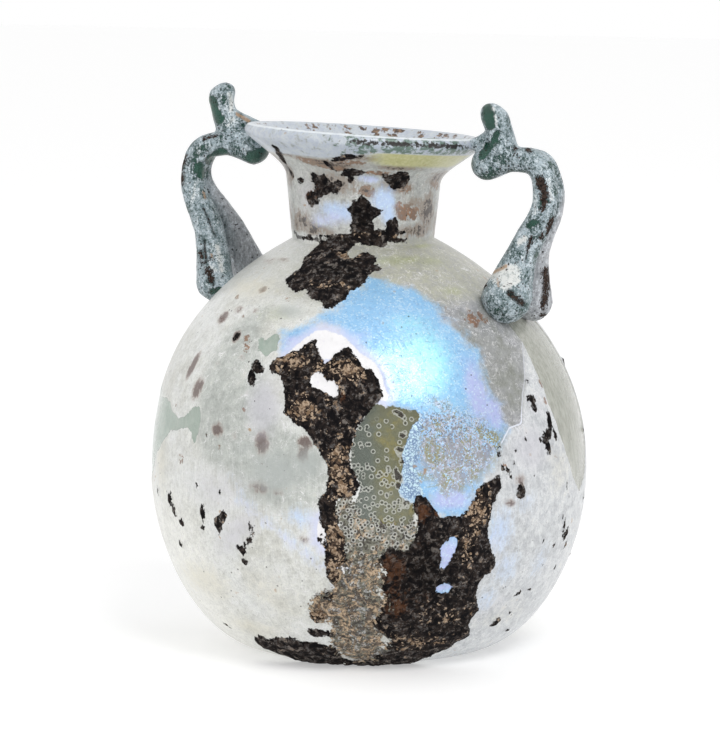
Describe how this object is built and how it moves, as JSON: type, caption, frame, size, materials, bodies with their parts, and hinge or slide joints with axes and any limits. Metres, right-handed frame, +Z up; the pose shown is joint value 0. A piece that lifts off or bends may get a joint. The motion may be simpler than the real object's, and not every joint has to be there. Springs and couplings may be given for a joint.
{
  "type": "glass aryballos",
  "caption": "Small globular blown-glass oil flask with a short neck, flared lip and trailed handles from shoulder to lip, weathered and iridescent.",
  "frame": {"origin": "centre of the body on the surface that the flask stands on", "axes": "+Z up along the body's axis, +X towards the handle that the picture shows on the right, -Y towards the side that the picture shows"},
  "size_m": [0.068, 0.068, 0.0869],
  "materials": {
    "weathered_glass": "pale glass under milky, flaking and iridescent weathering with dark crust",
    "handle_glass": "glossy blue-green glass under mottled grey-white weathering"
  },
  "bodies": {
    "root": {"vessel": "weathered_glass", "left_handle": "handle_glass", "right_handle": "handle_glass"}
  },
  "joints": []
}
